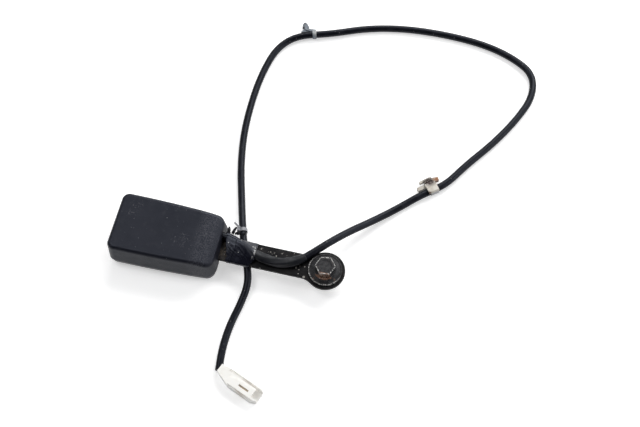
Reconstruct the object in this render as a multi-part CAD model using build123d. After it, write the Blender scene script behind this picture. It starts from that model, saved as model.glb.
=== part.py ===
from build123d import *
import math
import os

# Seat belt buckle with a flat steel stalk, an anchor bolt and a switch cable.
# Millimetres. The origin is on the anchor bolt's axis, in the plane where the
# stalk seats on the vehicle. +X runs from the tongue's mouth to the bolt, and
# +Z points up through the bolt's head. The buckle lies on the plane floor_z.

# Stalk and anchor
strap_width = 20.0
strap_thick = 3.0
eye_radius = 15.7
eye_blend = 14.0
bolt_radius = 5.55
bolt_shoulder = 6.2
bolt_hex = 14.0
bolt_flange_radius = 13.4
bolt_turn = 9.0
bolt_flange_edge = 1.4
bolt_head_height = 9.0
bush_wall = 1.6
bush_flange_radius = 11.0
bush_flange_thick = 1.2
seat_washer_thick = 0.8
seat_washer_radius = 9.5
wave_washer_thick = 0.6
wave_washer_radius = 12.0

# Housing
mouth_to_pivot = 59.0
pivot_to_rear = 28.0
housing_thick = 28.0
resting_drop = 13.5
eye_to_housing = 84.0
side_taper = 2.5
side_clearance = 4.4
parting_drop = 4.0
wall = 2.2
upper_draft = 7.5
lower_draft = 12.0
rear_corner = 9.0
mouth_corner = 6.0
side_bulge = 0.9
top_round = 3.2
bottom_round = 2.4
bend_length = 22.0
bend_drop = 4.2
parting_step = 0.35

# Steel frame
frame_sheet = 2.5
frame_wall_sheet = 2.4
frame_low_wall = 3.2
frame_ear_height = 8.0
frame_front_gap = 5.0
frame_tail_half = 11.0
slot_half = 2.6

# Tongue and mouth
tongue_thick = 3.0
tongue_half = 14.2
window_margin = 7.4

# Mechanism
button_travel = 6.0
ejector_travel = 12.0
latch_sheet = 2.0
latch_margin = 2.2
latch_lug_width = 4.0
lug_radius = 2.6
hook_length = 7.2
pin_radius = 1.5
leg_gap = 0.4
leg_thick = 3.0
button_play = 0.4
dish_radius = 60.0
dish_depth = 1.2

# Fits
slide_gap = 0.2
pin_play = 0.06
bolt_play = 0.08
cable_play = 0.1

# Cable and what is on it
cable_radius = 3.0
connector_length = 38.2
connector_width = 12.4
connector_height = 8.6
connector_offset = -2.4
hood_depth = 10.0
hood_cut_back = 4.9
wire_radius = 0.6
wire_apart = 0.9
wire_lane = 2.4
clip_band_thick = 0.8
tie_width = 3.2
tie_thick = 0.7
tie_tail_length = 7.0
tie_tail_slant = 37.0
clip_anchor = 11.6

# Levels that follow from the sizes above
bush_low = seat_washer_thick
strap_low = bush_low + bush_flange_thick
strap_top = strap_low + strap_thick
strap_mid = strap_low + strap_thick / 2
floor_z = strap_mid - resting_drop
top_z = floor_z + housing_thick
parting_z = strap_mid - parting_drop
upper_height = top_z - parting_z
base_top = strap_low
base_low = base_top - frame_sheet
flange_low = strap_top + wave_washer_thick + 0.05
lower_depth = parting_z - floor_z
inside_top = top_z - wall
inside_floor = floor_z + wall

# Widths that follow from the tongue's
frame_inner_half = tongue_half + 2 * slide_gap
frame_outer_half = frame_inner_half + frame_wall_sheet
leg_half_inner = frame_outer_half + leg_gap
leg_half_outer = leg_half_inner + leg_thick
leg_mid = (leg_half_inner + leg_half_outer) / 2
mouth_half = leg_half_outer + side_clearance + wall
window_half = mouth_half - window_margin

# Stations along the stalk
housing_length = mouth_to_pivot + pivot_to_rear
rear_x = -eye_to_housing
mouth_x = rear_x - housing_length
pivot_x = mouth_x + mouth_to_pivot
pivot_z = base_top + tongue_thick + 1.4
strap_end_x = pivot_x + 5.0
hook_x = pivot_x - 28.8
ejector_x = strap_end_x - ejector_travel - 9.0
rivet_stations = (strap_end_x + 5.5, strap_end_x + 14.5)
frame_front_x = mouth_x + frame_front_gap
frame_rear_x = rear_x - wall - 1.8

latch_low = pivot_z - latch_sheet / 2
latch_top = pivot_z + latch_sheet / 2
button_low = base_top + tongue_thick + 2.3

# Sizes that only one or two of the pieces share
bush_outer = bolt_shoulder + bolt_play + bush_wall
rivet_radius = 2.5
leaf_thick = 0.5
tab_stations = (mouth_x + 0.25 * housing_length, mouth_x + 0.6 * housing_length)
peg_radius = 1.6
peg_x = mouth_x + 11.0
peg_y = 9.0
contact_y = 2.4
wire_z = base_low - 4.0
ear_x = pivot_x - 26.5
ear_length = 7.5
ear_half = leg_half_outer - 0.2
ramp_x = ear_x - 0.1
ramp_slope = 0.86
ramp_rise = button_travel * ramp_slope - 0.31
terminal_stations = (connector_offset + 2.0, connector_offset - 2.0)
terminal_z = 4.2

# The cable's route, from inside the housing to the connector. It lies along the
# stalk's top, drops past the eye, makes the loop and comes back under the stalk.
on_strap = strap_top + cable_radius + cable_play
lying = floor_z + cable_radius + 0.05
on_band = lying + cable_play + clip_band_thick
under = strap_low - cable_radius - cable_play
cable_points = [
    (-93.0, 9.7, on_strap), (-80.5, 9.0, on_strap), (-66.0, 4.6, on_strap),
    (-52.5, -2.2, on_strap), (-37.5, -3.8, on_strap), (-22.6, 1.0, on_strap),
    (-12.2, 11.6, on_strap), (-0.6, 25.2, 6.4), (11.8, 39.6, 1.6), (27.2, 55.2, -4.2),
    (43.6, 71.4, lying), (60.4, 88.0, on_band), (78.4, 101.8, on_band), (91.6, 124.2, lying),
    (110.4, 150.2, lying), (125.8, 177.4, lying), (136.0, 203.4, lying),
    (132.8, 226.4, lying), (113.8, 238.8, lying), (87.4, 247.2, lying), (52.0, 250.0, lying),
    (16.0, 248.2, lying), (-17.0, 241.0, lying), (-47.5, 227.0, on_band), (-75.6, 218.8, on_band),
    (-90.4, 202.8, lying), (-96.4, 176.0, lying), (-98.2, 146.0, lying),
    (-96.8, 112.0, lying), (-90.8, 80.0, lying), (-83.0, 53.5, lying), (-76.2, 31.0, -4.2),
    (-69.9, 12.0, under), (-62.2, -6.0, under), (-57.2, -21.5, -3.6),
    (-59.4, -38.5, lying), (-62.6, -55.0, lying), (-63.6, -70.5, lying), (-62.9, -84.0, -6.5),
    (-61.4, -94.4, -6.4),
]
under_start = [point[2] for point in cable_points].index(under) - 2
tie_run = under_start + 1
white_clip_run = [point[2] for point in cable_points].index(on_band)
grey_clip_run = white_clip_run + 12
connector_place = (-60.6, -92.4)
connector_angle = -22.0

# The tape at a few stations: station, far edge, cable's middle, top and bottom
tape_near_edge = -11.2
tape_sections = [
    (-83.7, 13.0, 9.2, on_strap + 3.6, strap_low - 0.9),
    (-74.5, 13.2, 7.2, on_strap + 3.8, under - 2.8),
    (-66.0, 13.4, 4.6, on_strap + 3.8, under - 3.6),
    (-58.5, 13.2, 0.8, on_strap + 3.7, under - 3.6),
    (-53.8, 12.6, -1.5, on_strap + 3.5, strap_low - 1.0),
]
tape_ends = [(-83.6, 15.0), (-56.8, 15.0), (-56.2, -5.4), (-60.4, -12.0), (-77.6, -12.0)]


def block(x0, x1, y0, y1, z0, z1):
    """A plain block between two corners."""
    box = Box(x1 - x0, y1 - y0, z1 - z0)
    return Pos((x0 + x1) / 2, (y0 + y1) / 2, (z0 + z1) / 2) * box


def both_sides(x0, x1, y0, y1, z0, z1):
    """Two blocks, mirrored about the plane through the stalk."""
    return [block(x0, x1, y0, y1, z0, z1), block(x0, x1, -y1, -y0, z0, z1)]


def side_plate(points, y0, y1):
    """A plate with an outline in the XZ plane, from y0 to y1."""
    face = make_face(Polyline(*points, close=True))
    plane = Plane((0, y1, 0), x_dir=(1, 0, 0), z_dir=(0, -1, 0))
    return extrude(plane * face, amount=y1 - y0)


def rod(radius, length, centre, direction):
    """A round bar centred on a point, along a direction."""
    return Plane(centre, z_dir=direction) * Cylinder(radius, length)


def coil(radius, wire, turns, start_x, end_x, y, z):
    """A compression spring of round wire, along X."""
    length = end_x - start_x - 2 * wire
    helix = Helix(length / turns, length, radius)
    section = Plane(helix @ 0, z_dir=helix % 0) * Circle(wire)
    spring = sweep(section, path=helix, is_frenet=True)
    return Pos(start_x + wire, y, z) * Rot(0, 90, 0) * spring


def half_at(x):
    """Half the housing's width at the parting plane; the sides bulge a little."""
    share = (x - mouth_x) / housing_length
    return mouth_half - side_taper * share + 4 * side_bulge * share * (1 - share)


def plan(inset):
    """The housing's outline at the parting plane, run out past the mouth."""
    front_x = mouth_x - 12.0
    end_x = rear_x - inset
    mid_x = (front_x + end_x) / 2
    front, mid, rear = (half_at(x) - inset for x in (front_x, mid_x, rear_x))
    outline = ThreePointArc((front_x, -front), (mid_x, -mid), (end_x, -rear))
    outline += Line((end_x, -rear), (end_x, rear))
    outline += ThreePointArc((end_x, rear), (mid_x, mid), (front_x, front))
    outline += Line((front_x, front), (front_x, -front))
    face = make_face(outline.edges())
    corners = face.vertices().sort_by(Axis.X)[-2:]
    return fillet(corners, rear_corner - inset)


def bend_cut(inset):
    """What the bend takes off the top towards the rear."""
    bend_radius = (bend_length**2 + bend_drop**2) / (2 * bend_drop)
    start_x = rear_x - bend_length
    radius = bend_radius - inset
    half = 2 * mouth_half
    sheet = block(start_x, rear_x + wall, -half, half, top_z - housing_thick, top_z + wall)
    roll = Pos(start_x, 0, top_z - bend_radius) * Rot(90, 0, 0) * Cylinder(radius, 3 * half)
    return sheet - roll


def mouth_trim(inset, height, draft):
    """Everything behind the mouth's plane; its corners are rounded and drafted."""
    layers = []
    for rise in (-1.0, height + 1.0):
        half = half_at(mouth_x) - inset - rise * math.tan(math.radians(draft))
        face = make_face(
            Polyline(
                (mouth_x + inset, -half),
                (rear_x + 20, -half - 1.0),
                (rear_x + 20, half + 1.0),
                (mouth_x + inset, half),
                close=True,
            )
        )
        corners = face.vertices().sort_by(Axis.X)[:2]
        layers.append(Pos(0, 0, parting_z + rise) * fillet(corners, mouth_corner - inset))
    return loft(layers, ruled=True)


def drafted_form(inset, height, draft):
    """One half of the housing as a plain block standing on the parting plane."""
    base = Pos(0, 0, parting_z) * plan(inset)
    return extrude(base, amount=height, taper=draft) & mouth_trim(inset, height, draft)


def upper_form(inset, rounding):
    """The upper cover's outside, or its inside when inset by the wall."""
    body = drafted_form(inset, upper_height - inset, upper_draft) - bend_cut(inset)
    if rounding:
        rim = body.edges().filter_by(
            lambda e: e.center().Z > parting_z + 4
            and abs(e.tangent_at(0.5).Z) < 0.75
            and not (abs(e.center().Y) < 1 and mouth_x + 1 < e.center().X < rear_x - 12)
        )
        body = fillet(rim, rounding)
    return body


def lower_form(inset, depth, rounding):
    """The lower cover's outside or inside, below the parting plane."""
    body = drafted_form(inset, depth, lower_draft)
    if rounding:
        body = fillet(body.faces().sort_by(Axis.Z)[-1].edges(), rounding)
    return mirror(body, Plane.XY.offset(parting_z))


def make_upper_cover():
    """The top half of the housing, a thin shell with its window at the mouth."""
    outside = upper_form(0, top_round)
    inside = upper_form(wall, 0)
    shell = outside - inside
    window = block(
        mouth_x - 5, mouth_x + wall + 1, -window_half, window_half,
        parting_z - 1, inside_top - 0.2,
    )
    shell -= window
    half = strap_width / 2 + slide_gap
    shell -= block(rear_x - 5, rear_x + 5, -half, half, parting_z - 1, strap_top + slide_gap)
    hole = cable_radius + 0.25
    exit_y = cable_points[1][1] + 0.25
    exit_z = cable_points[1][2]
    shell -= rod(hole, 12, (rear_x, exit_y, exit_z), (1, 0, 0))
    shell -= block(rear_x - 5, rear_x + 5, exit_y - hole, exit_y + hole, strap_top - 1, exit_z)
    ribs = []
    front_rib = (pivot_x - 38, pivot_x - 28)
    rear_rib = (pivot_x - 8, pivot_x + 5)
    rib_in = frame_inner_half + 0.2
    rib_out = frame_outer_half - 0.2
    low_top = base_top + frame_low_wall
    ear_top = base_top + frame_ear_height
    reach = top_z - wall / 2
    ribs += both_sides(*front_rib, rib_in, rib_out, low_top + slide_gap, reach)
    ribs += both_sides(*rear_rib, rib_in, rib_out, ear_top + slide_gap, reach)
    for rib in ribs:
        shell += rib
    for pocket in snap_blocks(grow=0.25):
        shell -= pocket
    return shell


def snap_tabs():
    """The lower cover's four snap tabs, each with its barb."""
    tabs = []
    for x in tab_stations:
        inner = half_at(x) - wall
        for side in (1, -1):
            face = inner - 1.0
            stem = block(x - 3, x + 3, face - 1.3, face, parting_z - 5, parting_z + 4.6)
            foot = block(x - 3, x + 3, face - 1.3, inner + 0.3, parting_z - 5, parting_z - 0.6)
            tab = stem + foot
            if side < 0:
                tab = mirror(tab, Plane.XZ)
            tabs.append(tab)
    return tabs


def snap_blocks(grow):
    """The four barbs, or with some growth the pockets that they catch in."""
    barbs = []
    for x in tab_stations:
        inner = half_at(x) - wall
        face = inner - 1.0
        for side in (1, -1):
            barb = block(
                x - 2.4 - grow, x + 2.4 + grow, face - 0.2, face + 0.9 + grow,
                parting_z + 2.6 - grow, parting_z + 4.2 + grow,
            )
            if side < 0:
                barb = mirror(barb, Plane.XZ)
            barbs.append(barb)
    return barbs


def make_lower_cover():
    """The bottom half: shell, sill, frame ribs, leg rails, spring posts, tabs."""
    outside = lower_form(parting_step, lower_depth, bottom_round)
    inside = lower_form(wall, lower_depth - wall, 0)
    shell = outside - inside
    sill = block(mouth_x, mouth_x + 2.0, -18.5, 18.5, parting_z - 3, base_top - 0.4)
    sill_edge = sill.edges().filter_by(Axis.Y).sort_by(Axis.Z)[-2:].sort_by(Axis.X)[0]
    shell += chamfer(sill_edge, 0.9)
    root = inside_floor - 0.5
    shell += block(mouth_x + 12, mouth_x + 14, -15, 15, root, base_low)
    for side in (1, -1):
        near, far = sorted((side * 5.0, side * 15.0))
        shell += block(rear_x - 14, rear_x - 12, near, far, root, base_low)
    for part in both_sides(
        mouth_x + 12, pivot_x - 13, leg_half_inner, leg_half_outer, root, base_low + 0.1
    ):
        shell += part
    stop_x = pivot_x + 3.5
    for part in both_sides(
        stop_x, stop_x + 3.0, leg_half_inner, leg_half_outer, root, base_top + 4.0
    ):
        shell += part
    for side in (1, -1):
        peg = Cylinder(peg_radius, base_top - 0.2 - root)
        shell += Pos(peg_x, side * peg_y, (base_top - 0.2 + root) / 2) * peg
    for tab in snap_tabs():
        shell += tab
    for barb in snap_blocks(grow=0):
        shell += barb
    return shell


def make_frame():
    """The pressed steel channel that carries the load from latch to stalk."""
    tail_x = strap_end_x + 7
    base = make_face(
        Polyline(
            (frame_front_x, -frame_outer_half),
            (strap_end_x - 1, -frame_outer_half),
            (tail_x, -frame_tail_half),
            (frame_rear_x, -frame_tail_half),
            (frame_rear_x, frame_tail_half),
            (tail_x, frame_tail_half),
            (strap_end_x - 1, frame_outer_half),
            (frame_front_x, frame_outer_half),
            close=True,
        )
    )
    rounded = base.vertices().sort_by(Axis.X)
    base = fillet(rounded[:2] + rounded[-2:], 2.5)
    frame = extrude(Pos(0, 0, base_low) * base, amount=frame_sheet)
    low = base_top + frame_low_wall
    high = base_top + frame_ear_height
    outline = [
        (frame_front_x + 3, base_low),
        (frame_front_x + 6, low),
        (pivot_x - 14, low),
        (pivot_x - 8, high),
        (pivot_x + 4, high),
        (pivot_x + 7, low),
        (pivot_x + 7, base_low),
    ]
    frame += side_plate(outline, frame_inner_half, frame_outer_half)
    frame += side_plate(outline, -frame_outer_half, -frame_inner_half)
    pin_hole = rod(pin_radius, 3 * frame_outer_half, (pivot_x, 0, pivot_z), (0, 1, 0))
    frame -= pin_hole
    frame -= block(hook_x - 5.2, hook_x + 1.0, -8, 8, base_low - 1, base_top + 1)
    frame -= block(hook_x, strap_end_x, -slot_half, slot_half, base_low - 1, base_top + 1)
    for x in rivet_stations:
        frame -= Pos(x, 0, base_low) * Cylinder(rivet_radius, 20)
    for side in (1, -1):
        frame -= Pos(peg_x, side * peg_y, base_low) * Cylinder(peg_radius + 0.1, 20)
    return frame


def make_stalk():
    """The strap: flat bar, rounded end inside the housing, eye at the bolt."""
    bar_length = -strap_end_x
    bar = Pos(-bar_length / 2, 0) * Rectangle(bar_length, strap_width)
    blank = bar + Circle(eye_radius)
    necks = blank.vertices().filter_by(
        lambda v: -eye_radius < v.X < -5 and abs(abs(v.Y) - strap_width / 2) < 0.01
    )
    blank = fillet(necks, eye_blend)
    ends = blank.vertices().sort_by(Axis.X)[:2]
    blank = fillet(ends, 3.0)
    stalk = extrude(Pos(0, 0, strap_low) * blank, amount=strap_thick)
    stalk -= Pos(0, 0, strap_mid) * Cylinder(bush_outer + 0.05, 20)
    for x in rivet_stations:
        stalk -= Pos(x, 0, strap_mid) * Cylinder(rivet_radius, 20)
    rims = stalk.edges().filter_by(GeomType.CIRCLE).filter_by(
        lambda e: abs(e.radius - eye_radius) < 0.01
    )
    return chamfer(rims, 0.4)


def make_rivets():
    """Two rivets that hold the stalk on the frame; the front one holds the leaf."""
    rivets = []
    for x, top in zip(rivet_stations, (strap_top + leaf_thick, strap_top)):
        head = 1.6
        outline = Polyline(
            (0, base_low - head), (2.6, base_low - head), (4.1, base_low), (rivet_radius, base_low),
            (rivet_radius, top), (4.1, top), (2.6, top + head), (0, top + head), close=True,
        )
        rivets.append(Pos(x, 0, 0) * revolve(Plane.XZ * make_face(outline), Axis.Z))
    return Compound(children=rivets)


def make_button():
    """The red push button: dished face, hollow body and two ramped legs."""
    face_x = mouth_x + 0.6
    half = window_half - button_play
    top = inside_top - 0.2 - button_play
    back_x = face_x + 12.0
    body = block(face_x, back_x, -half, half, button_low, top)
    hollow = block(face_x + 2.5, back_x + 1, -half + 2.6, half - 2.6, button_low - 1, top - 1.6)
    body -= hollow
    rims = body.faces().sort_by(Axis.X)[0].edges().filter_by(Axis.Z)
    body = fillet(rims, 1.5)
    dish_middle = face_x + dish_depth - dish_radius
    dish = Pos(dish_middle, 0, (button_low + top) / 2) * Cylinder(dish_radius, dish_radius)
    body -= dish
    leg_top = base_top + frame_low_wall
    ramp_top = leg_top + ramp_rise
    outline = [
        (face_x + 5, top),
        (face_x + 10, top),
        (face_x + 15, ramp_top),
        (ramp_x - ramp_rise / ramp_slope, ramp_top),
        (ramp_x, leg_top),
        (pivot_x - 12, leg_top),
        (pivot_x - 12, base_low + 0.3),
        (face_x + 15, base_low + 0.3),
        (face_x + 10, base_top + 1.5),
        (face_x + 5, button_low),
    ]
    body += side_plate(outline, leg_half_inner, leg_half_outer)
    body += side_plate(outline, -leg_half_outer, -leg_half_inner)
    return body


def make_button_spring(side):
    """A compression spring between a button leg and its post."""
    start = pivot_x - 12 + 0.05
    end = pivot_x + 3.5 - 0.05
    return coil(1.35, 0.35, 6, start, end, side * leg_mid, base_top + 0.6)


def make_latch():
    """The latch plate: hooked nose, two ears over the legs, two pivot lugs."""
    front_x = hook_x - hook_length
    half = tongue_half - latch_margin
    inner = half - latch_lug_width
    plate = make_face(
        Polyline(
            (front_x, -half + 3), (front_x + 3, -half), (ear_x, -half), (ear_x, -ear_half),
            (ear_x + ear_length, -ear_half), (ear_x + ear_length + 1, -half),
            (pivot_x, -half), (pivot_x, -inner), (pivot_x - 9, -inner), (pivot_x - 9, inner),
            (pivot_x, inner), (pivot_x, half), (ear_x + ear_length + 1, half),
            (ear_x + ear_length, ear_half), (ear_x, ear_half), (ear_x, half),
            (front_x + 3, half), (front_x, half - 3), close=True,
        )
    )
    latch = extrude(Pos(0, 0, latch_low) * plate, amount=latch_sheet)
    tip = base_low + 0.3
    nose = [(front_x, latch_low), (hook_x, latch_low), (hook_x, tip), (hook_x - 1.8, tip)]
    latch += side_plate(nose, -half + 5, half - 5)
    lug_mid = (half + inner) / 2
    for y in (lug_mid, -lug_mid):
        latch += rod(lug_radius, latch_lug_width, (pivot_x, y, pivot_z), (0, 1, 0))
    bore = pin_radius + pin_play
    latch -= rod(bore, 3 * frame_outer_half, (pivot_x, 0, pivot_z), (0, 1, 0))
    return latch


def make_latch_pin():
    """The pivot pin, peened flush in the frame's two ears."""
    return rod(pin_radius, 2 * frame_outer_half, (pivot_x, 0, pivot_z), (0, 1, 0))


def make_latch_spring():
    """A leaf spring held by the front rivet, bowed over the pin to the latch."""
    mid = strap_top + leaf_thick / 2
    line = Polyline(
        (rivet_stations[0] + 4.6, mid),
        (rivet_stations[0] - 5.2, mid),
        (pivot_x + 0.5, pivot_z + 3.0),
        (pivot_x - 4.0, pivot_z + 3.1),
        (pivot_x - 15.5, latch_top + leaf_thick / 2 + 0.02),
        (pivot_x - 17.5, latch_top + 0.9),
    )
    face = trace(line, line_width=leaf_thick)
    plane = Plane((0, 3, 0), x_dir=(1, 0, 0), z_dir=(0, -1, 0))
    leaf = extrude(plane * face, amount=6)
    hole = Pos(rivet_stations[0], 0, mid) * Cylinder(rivet_radius, 3)
    return leaf - hole


def make_ejector():
    """The plastic slide that pushes the tongue out, with prongs and a foot."""
    low = base_top + slide_gap
    top = latch_low - slide_gap * 2
    rear = ejector_x
    slide = block(rear - 9, rear, -frame_inner_half + 0.3, frame_inner_half - 0.3, low, top)
    for part in both_sides(rear - 18, rear - 9, 8.5, 12.5, low, top):
        slide += part
    foot_half = slot_half - 0.3
    slide += block(rear - 9, rear - 2, -foot_half, foot_half, base_low - 2.1, low)
    tips = slide.faces().sort_by(Axis.X)[:2].edges().filter_by(Axis.Y)
    slide = chamfer(tips, 0.6)
    spigot_z = base_top + 0.4
    slide += rod(1.2, 6.0, (rear + 3.0, 0, spigot_z), (1, 0, 0))
    return slide


def make_ejector_spring():
    """The ejector's spring, between its spigot's shoulder and the stalk's end."""
    return coil(1.9, 0.35, 8, ejector_x + 0.05, strap_end_x - 0.05, 0, base_top + 0.4)


def make_switch_case():
    """An open tray under the frame, where the ejector's wiper slides."""
    x0 = hook_x - 0.2
    x1 = pivot_x
    half = 6.5
    case = block(x0, x1, -half, half, inside_floor, base_low)
    case -= block(x0 + 1.2, x1 - 1.2, -half + 1.2, half - 1.2, inside_floor + 1.4, base_low + 1)
    for y in (contact_y, -contact_y):
        case -= rod(wire_radius + 0.1, 6, (x1, y, wire_z), (1, 0, 0))
    return case


def make_switch_contacts():
    """Two brass strips on the tray's floor, turned up at the wires' end."""
    z0 = inside_floor + 1.4
    strips = []
    for y in (contact_y, -contact_y):
        strip = block(hook_x + 1.4, pivot_x - 1.4, y - 0.9, y + 0.9, z0, z0 + 0.3)
        strip += block(pivot_x - 2.0, pivot_x - 1.7, y - 0.9, y + 0.9, z0, wire_z + 0.9)
        strips.append(strip)
    return Compound(children=strips)


def make_switch_wiper():
    """The bronze bridge under the ejector's foot, with two sprung fingers."""
    top = base_low - 2.1
    x0 = ejector_x - 8.0
    strip_top = inside_floor + 1.7
    bridge = block(x0, x0 + 4.5, -contact_y - 0.7, contact_y + 0.7, top - 0.4, top)
    outline = [
        (x0 + 0.4, top - 0.4), (x0, top - 0.4), (x0 + 2.6, strip_top + 0.1),
        (x0 + 4.6, strip_top + 0.1), (x0 + 4.6, strip_top + 0.5), (x0 + 3.0, strip_top + 0.5),
    ]
    for y in (contact_y, -contact_y):
        bridge += side_plate(outline, y - 0.7, y + 0.7)
    return bridge


def make_switch_wires():
    """Two insulated wires from the tray, round the frame's tail, to the cable."""
    wires = []
    end = cable_points[0]
    for side in (1, -1):
        y = side * contact_y
        offset = side * wire_apart
        lift = frame_tail_half + wire_lane + side * wire_apart
        path = FilletPolyline(
            (pivot_x - 1.7, y, wire_z),
            (pivot_x + 7.0 - side, y, wire_z),
            (pivot_x + 11.0 - side, lift, wire_z),
            (pivot_x + 11.0 - side, lift, end[2] + offset),
            (end[0] - 3.0, end[1] + offset, end[2] + offset),
            (end[0] - 0.15, end[1] + offset, end[2] + offset),
            radius=[2.2, 2.2, 2.0, 1.0],
        )
        section = Plane(path @ 0, z_dir=path % 0) * Circle(wire_radius)
        wires.append(sweep(section, path=path))
    return Compound(children=wires)


def ring(inner, outer, low, high):
    """A flat ring round the bolt's axis."""
    body = Cylinder(outer, high - low) - Cylinder(inner, high - low + 1)
    return Pos(0, 0, (low + high) / 2) * body


def make_anchor_bush():
    """The stepped bush that lets the eye turn on the tightened bolt."""
    inner = bolt_shoulder + bolt_play
    return ring(inner, bush_outer, bush_low, flange_low - 0.05) + ring(
        inner, bush_flange_radius, bush_low, strap_low
    )


def make_seat_washer():
    """The fibre washer that keeps the bolt in the bush before it is fitted."""
    return ring(bolt_shoulder + bolt_play, seat_washer_radius, 0, seat_washer_thick)


def make_wave_washer():
    """The thin steel washer between the eye and the bolt's flange."""
    return ring(bush_outer + 0.1, wave_washer_radius, strap_top, strap_top + wave_washer_thick)


def make_anchor_bolt():
    """The hexagon flange bolt: a shoulder in the bush, then the threaded end."""
    outline = Polyline(
        (0, floor_z), (bolt_radius - 1.2, floor_z), (bolt_radius, floor_z + 1.6),
        (bolt_radius, 0), (bolt_shoulder, 0), (bolt_shoulder, flange_low),
        (bolt_flange_radius, flange_low),
        (bolt_flange_radius, flange_low + bolt_flange_edge),
        (bolt_flange_radius - 1.1, flange_low + bolt_flange_edge),
        (bolt_flange_radius - 1.5, flange_low + bolt_flange_edge - 0.4),
        (bolt_hex / 2 + 1.8, flange_low + bolt_flange_edge + 0.9),
        (0, flange_low + bolt_flange_edge + 0.9), close=True,
    )
    bolt = revolve(Plane.XZ * make_face(outline), Axis.Z)
    hexagon = RegularPolygon(bolt_hex / 2, 6, major_radius=False, rotation=bolt_turn)
    head = extrude(Pos(0, 0, flange_low + 1) * hexagon, amount=bolt_head_height - 1)
    crown_z = flange_low + bolt_head_height
    corner = bolt_hex / math.sqrt(3)
    crown = Polyline(
        (0, flange_low), (corner + 0.5, flange_low), (corner + 0.5, crown_z - 0.9),
        (bolt_hex / 2 + 0.4, crown_z), (0, crown_z), close=True,
    )
    head &= revolve(Plane.XZ * make_face(crown), Axis.Z)
    head -= Pos(0, 0, crown_z) * Cone(4.6, 5.4, 0.5)
    return bolt + head


def run_radii(points):
    """Each corner's arc, as large as the two runs beside it allow."""
    radii = []
    for before, here, after in zip(points, points[1:], points[2:]):
        run_in = Vector(here) - Vector(before)
        run_out = Vector(after) - Vector(here)
        turn = run_in.get_angle(run_out)
        shorter = min(run_in.length, run_out.length)
        radii.append(0.45 * shorter / math.tan(math.radians(turn / 2)))
    return radii


def tube(points, radius, name):
    """A round cable along straight runs joined by tangent arcs."""
    radii = run_radii(points)
    path = FilletPolyline(*points, radius=radii)
    section = Plane(path @ 0, z_dir=path % 0) * Circle(radius)
    body = sweep(section, path=path)
    share = body.volume / (math.pi * radius**2 * path.length)
    print(f"{name}: length {path.length:.1f}, least radius {min(radii):.1f}, volume share {share:.4f}")
    print("  radii", " ".join(f"{r:.0f}" for r in radii))
    return body


def make_cable():
    """The switch cable: out of the housing, one big loop, back under the stalk."""
    body = tube(cable_points, cable_radius, "cable")
    beyond = block(-0.05, 20, -20, 20, 0, 20)
    return body - connector_frame() * beyond


def on_cable(index):
    """A frame at the middle of one of the cable's runs, along that run."""
    start = Vector(cable_points[index])
    end = Vector(cable_points[index + 1])
    return Plane((start + end) / 2, x_dir=(0, 0, 1), z_dir=end - start)


def make_tape():
    """The vinyl tape: many turns round the stalk and both stretches of cable."""
    layers = []
    for x, far, ridge, top, low in tape_sections:
        near = tape_near_edge
        shoulder = strap_top + 1.2
        outline = Polyline(
            (near, strap_low), (near, shoulder), (ridge - 2.4, top), (ridge + 2.4, top),
            (far, shoulder + 1.0), (far, strap_low), (far - 3.0, low), (near + 3.0, low),
            close=True,
        )
        face = make_face(outline)
        face = fillet(face.vertices(), 0.9)
        layers.append(Plane((x, 0, 0), x_dir=(0, 1, 0), z_dir=(1, 0, 0)) * face)
    wrap = loft(layers, ruled=True)
    ends = make_face(Polyline(*tape_ends, close=True))
    wrap &= extrude(Pos(0, 0, floor_z) * ends, amount=housing_thick)
    half = strap_width / 2
    wrap -= block(strap_end_x, 0, -half, half, strap_low, strap_top)
    bore = cable_radius + cable_play / 2
    wrap -= tube(cable_points[:6], bore, "tunnel above")
    wrap -= tube(cable_points[under_start:under_start + 6], bore, "tunnel below")
    return wrap


def make_cable_tie():
    """The nylon tie round the cable beside the tape, with its cut tail."""
    inner = cable_radius + cable_play
    outer = inner + tie_thick
    band = Cylinder(outer, tie_width) - Cylinder(inner, 2 * tie_width)
    head = Pos(2.2, outer - 0.6, 0) * Box(3.6, 2.6, tie_width)
    slant = math.radians(tie_tail_slant)
    along = Vector(0, math.sin(slant), -math.cos(slant))
    middle = Vector(3.4, outer - 1.9, -1.0) + along * (tie_tail_length / 2)
    tail = Pos(*middle) * Rot(tie_tail_slant, 0, 0) * Box(1.8, 1.0, tie_tail_length)
    return on_cable(tie_run) * (band + head + tail - Cylinder(inner, 4 * tie_width))


def make_clip_band(index, width):
    """A clip's thin band round the cable."""
    inner = cable_radius + cable_play
    outer = inner + clip_band_thick
    return on_cable(index) * (Cylinder(outer, width) - Cylinder(inner, width + 1))


def clip_frame(index, outwards):
    """A level frame on the floor under a run's middle: X along it, Y outwards."""
    start = Vector(cable_points[index])
    end = Vector(cable_points[index + 1])
    run = (end - start) * outwards
    middle = (start + end) / 2
    angle = math.degrees(math.atan2(run.Y, run.X))
    return Pos(middle.X, middle.Y, floor_z) * Rot(0, 0, angle)


def outline_plate(points, low, high):
    """A plate with an outline in the XY plane, between two levels."""
    return extrude(Pos(0, 0, low) * make_face(Polyline(*points, close=True)), amount=high - low)


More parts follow.
